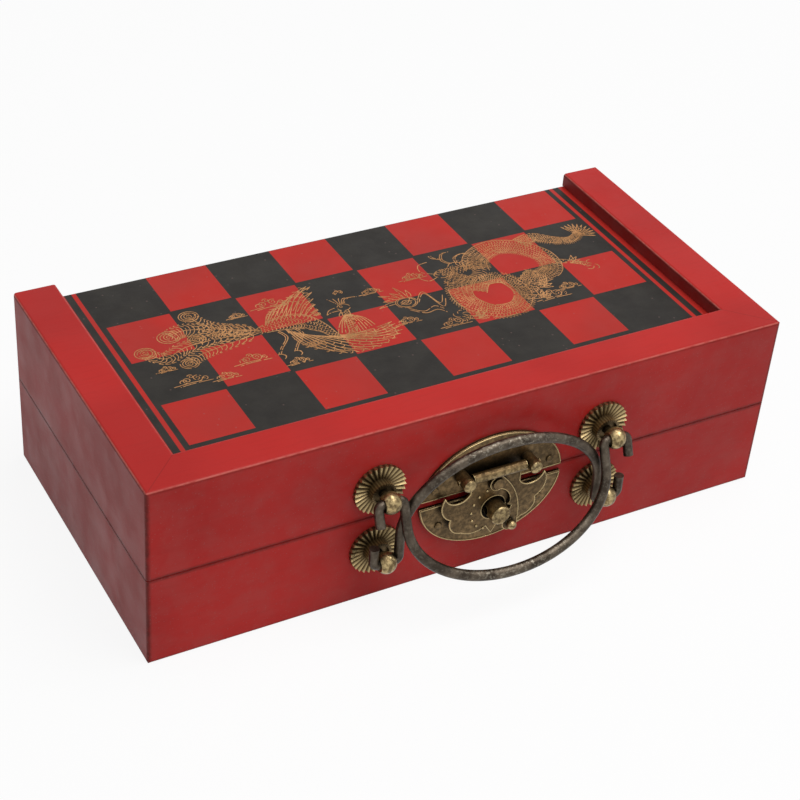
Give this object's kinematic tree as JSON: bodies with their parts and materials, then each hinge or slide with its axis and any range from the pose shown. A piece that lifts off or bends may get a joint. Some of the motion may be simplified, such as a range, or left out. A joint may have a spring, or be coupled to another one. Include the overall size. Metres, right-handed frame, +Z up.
{
  "type": "chess storage case",
  "caption": "Hinged wooden chess case that unfolds into its own board, with lined troughs, two swinging bail handles and a hasp with a latch",
  "frame": {"origin": "bottom centre of the bounding box, with the handles as they hang at rest", "axes": "+X runs along the case to the right as seen from the front, -Y is the front with the lock and the handles, +Z is up"},
  "size_m": [0.225, 0.1362, 0.066],
  "materials": {
    "red_lacquer": "glossy dark red lacquer on wood, browner on the edges",
    "lacquered_board": "satin lacquer, red and charcoal squares with thin gold lines",
    "lining": "short matt dark red pile",
    "antique_brass": "antique brass, dark in the grooves and bright on the worn edges",
    "dark_metal": "dark bronzed steel with silver wear",
    "hinge_steel": "plain steel wire"
  },
  "bodies": {
    "base": {"base_front_rail": "red_lacquer", "base_left_rail": "red_lacquer", "base_right_rail": "red_lacquer", "base_back_rail": "red_lacquer", "base_board": "lacquered_board", "base_floor_pad": "lining", "base_wall_strips": "red_lacquer", "base_divider": "red_lacquer", "base_hinge_leaves": "antique_brass", "base_hinge_screws": "antique_brass", "base_lock_plate": "antique_brass", "base_plate_nails": "antique_brass", "base_left_rosette": "antique_brass", "base_left_handle_post": "antique_brass", "base_right_rosette": "antique_brass", "base_right_handle_post": "antique_brass", "hinge_pins": "hinge_steel", "lock_post": "antique_brass"},
    "lid": {"lid_front_rail": "red_lacquer", "lid_left_rail": "red_lacquer", "lid_right_rail": "red_lacquer", "lid_back_rail": "red_lacquer", "lid_board": "lacquered_board", "lid_floor_pad": "lining", "lid_wall_strips": "red_lacquer", "lid_divider": "red_lacquer", "lid_hinge_leaves": "antique_brass", "lid_hinge_screws": "antique_brass", "lid_lock_plate": "antique_brass", "lid_plate_nails": "antique_brass", "lid_left_rosette": "antique_brass", "lid_left_handle_post": "antique_brass", "lid_right_rosette": "antique_brass", "lid_right_handle_post": "antique_brass", "hasp_lugs": "antique_brass", "hasp_pin": "antique_brass"},
    "upper_handle": {"upper_handle": "dark_metal"},
    "lower_handle": {"lower_handle": "dark_metal"},
    "hasp": {"hasp": "antique_brass", "hasp_stud": "antique_brass"},
    "latch": {"latch_lever": "antique_brass", "latch_knob": "antique_brass"}
  },
  "joints": [
    {"name": "lid_hinge", "type": "hinge", "parent": "base", "child": "lid", "pos_m": [0, 0.06596, 0.033], "axis": [-1, 0, 0], "range_deg": [0, 180]},
    {"name": "upper_handle_swing", "type": "hinge", "parent": "lid", "child": "upper_handle", "pos_m": [0.0039, -0.05384, 0.044], "axis": [-1, 0, 0], "range_deg": [0, 156]},
    {"name": "lower_handle_swing", "type": "hinge", "parent": "base", "child": "lower_handle", "pos_m": [0.0039, -0.05384, 0.0202], "axis": [1, 0, 0], "range_deg": [0, 71]},
    {"name": "hasp_lift", "type": "hinge", "parent": "lid", "child": "hasp", "pos_m": [0.0039, -0.05024, 0.0404], "axis": [-1, 0, 0], "range_deg": [0, 150]},
    {"name": "latch_swing", "type": "hinge", "parent": "hasp", "child": "latch", "pos_m": [0.0039, -0.04954, 0.036], "axis": [0, -1, 0], "range_deg": [-15, 35]}
  ],
  "couplings": [
    {"joint": "lower_handle_swing", "follows": "upper_handle_swing", "ratio": 0.45}
  ]
}
